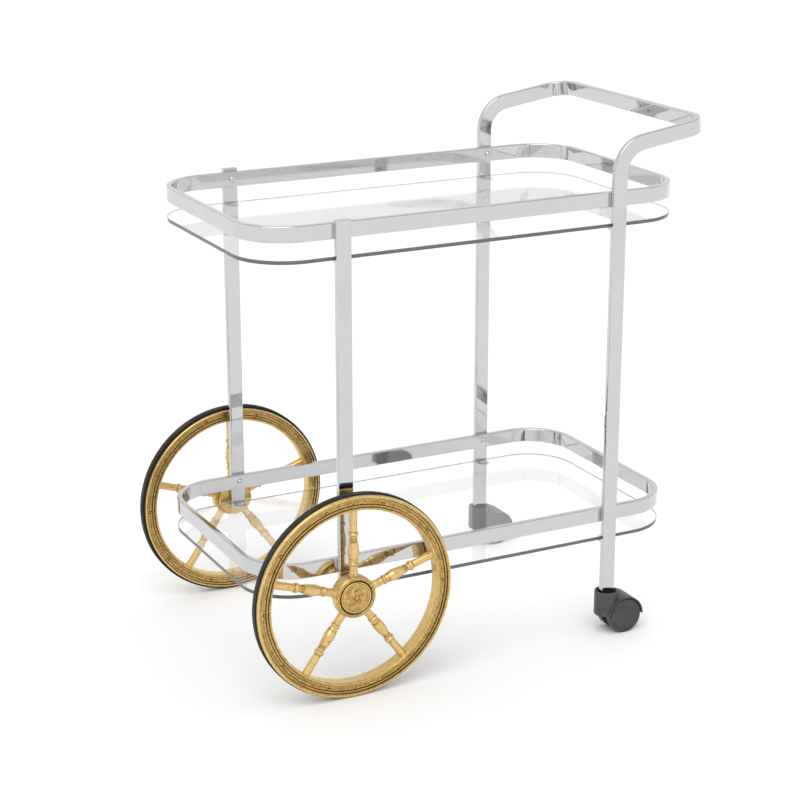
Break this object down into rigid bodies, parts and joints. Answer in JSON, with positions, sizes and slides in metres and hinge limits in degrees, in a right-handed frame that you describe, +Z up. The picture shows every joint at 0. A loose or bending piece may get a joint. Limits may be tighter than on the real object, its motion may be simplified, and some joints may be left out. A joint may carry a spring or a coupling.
{
  "type": "bar cart",
  "caption": "Rolling bar cart with glass shelves inside chromed guard rails, gilded spoke wheels at one end and swivel casters below a bent handle.",
  "frame": {"origin": "centre of the bounding box's bottom face, on the floor below the middle of the cart", "axes": "+X towards the handle and the casters, +Y towards the right-hand wheel as seen by the person pushing, +Z up"},
  "size_m": [0.692, 0.438, 0.726],
  "materials": {
    "chrome": "polished chrome plate on steel tube",
    "bright_steel": "bright plated steel",
    "shelf_glass": "clear tempered glass, green edges",
    "antique_gold": "antique gold leaf with brown patina",
    "wheel_rubber": "black rubber",
    "caster_plastic": "charcoal moulded plastic",
    "caster_tread": "charcoal moulded plastic",
    "clear_bumper": "clear silicone"
  },
  "bodies": {
    "cart": {"handle_frame": "chrome", "upper_guard_rail": "chrome", "upper_glass_shelf": "shelf_glass", "lower_guard_rail": "chrome", "lower_glass_shelf": "shelf_glass", "upper_rail_screw_wheel_left": "bright_steel", "upper_glass_pad_wheel_left": "clear_bumper", "lower_rail_screw_wheel_left": "bright_steel", "lower_glass_pad_wheel_left": "clear_bumper", "upper_rail_screw_handle_left": "bright_steel", "upper_glass_pad_handle_left": "clear_bumper", "lower_rail_screw_handle_left": "bright_steel", "lower_glass_pad_handle_left": "clear_bumper", "left_wheel_post": "chrome", "left_stub_axle": "bright_steel", "left_axle_washer": "bright_steel", "left_lock_nut": "bright_steel", "left_caster_stem": "bright_steel", "upper_rail_screw_wheel_right": "bright_steel", "upper_glass_pad_wheel_right": "clear_bumper", "lower_rail_screw_wheel_right": "bright_steel", "lower_glass_pad_wheel_right": "clear_bumper", "upper_rail_screw_handle_right": "bright_steel", "upper_glass_pad_handle_right": "clear_bumper", "lower_rail_screw_handle_right": "bright_steel", "lower_glass_pad_handle_right": "clear_bumper", "right_wheel_post": "chrome", "right_stub_axle": "bright_steel", "right_axle_washer": "bright_steel", "right_lock_nut": "bright_steel", "right_caster_stem": "bright_steel"},
    "left_wheel": {"left_tyre": "wheel_rubber", "left_rim": "antique_gold", "left_hub": "antique_gold", "left_hub_cap": "antique_gold", "left_spoke_1": "antique_gold", "left_spoke_2": "antique_gold", "left_spoke_3": "antique_gold", "left_spoke_4": "antique_gold", "left_spoke_5": "antique_gold"},
    "left_swivel": {"left_caster_body": "caster_plastic", "left_caster_axle": "bright_steel"},
    "left_roller_outer": {"left_caster_wheel_outer": "caster_tread"},
    "left_roller_inner": {"left_caster_wheel_inner": "caster_tread"},
    "right_wheel": {"right_tyre": "wheel_rubber", "right_rim": "antique_gold", "right_hub": "antique_gold", "right_hub_cap": "antique_gold", "right_spoke_1": "antique_gold", "right_spoke_2": "antique_gold", "right_spoke_3": "antique_gold", "right_spoke_4": "antique_gold", "right_spoke_5": "antique_gold"},
    "right_swivel": {"right_caster_body": "caster_plastic", "right_caster_axle": "bright_steel"},
    "right_roller_outer": {"right_caster_wheel_outer": "caster_tread"},
    "right_roller_inner": {"right_caster_wheel_inner": "caster_tread"}
  },
  "joints": [
    {"name": "left_wheel_spin", "type": "hinge", "parent": "cart", "child": "left_wheel", "pos_m": [-0.204, -0.2068, 0.142], "axis": [0, 1, 0], "continuous": true},
    {"name": "left_caster_swivel", "type": "hinge", "parent": "cart", "child": "left_swivel", "pos_m": [0.204, -0.1843, 0.045], "axis": [0, 0, 1], "continuous": true},
    {"name": "left_roller_outer_spin", "type": "hinge", "parent": "left_swivel", "child": "left_roller_outer", "pos_m": [0.226, -0.197, 0.025], "axis": [0, 1, 0], "continuous": true},
    {"name": "left_roller_inner_spin", "type": "hinge", "parent": "left_swivel", "child": "left_roller_inner", "pos_m": [0.226, -0.1716, 0.025], "axis": [0, 1, 0], "continuous": true},
    {"name": "right_wheel_spin", "type": "hinge", "parent": "cart", "child": "right_wheel", "pos_m": [-0.204, 0.2068, 0.142], "axis": [0, 1, 0], "continuous": true},
    {"name": "right_caster_swivel", "type": "hinge", "parent": "cart", "child": "right_swivel", "pos_m": [0.204, 0.1843, 0.045], "axis": [0, 0, 1], "continuous": true},
    {"name": "right_roller_outer_spin", "type": "hinge", "parent": "right_swivel", "child": "right_roller_outer", "pos_m": [0.226, 0.197, 0.025], "axis": [0, 1, 0], "continuous": true},
    {"name": "right_roller_inner_spin", "type": "hinge", "parent": "right_swivel", "child": "right_roller_inner", "pos_m": [0.226, 0.1716, 0.025], "axis": [0, 1, 0], "continuous": true}
  ]
}
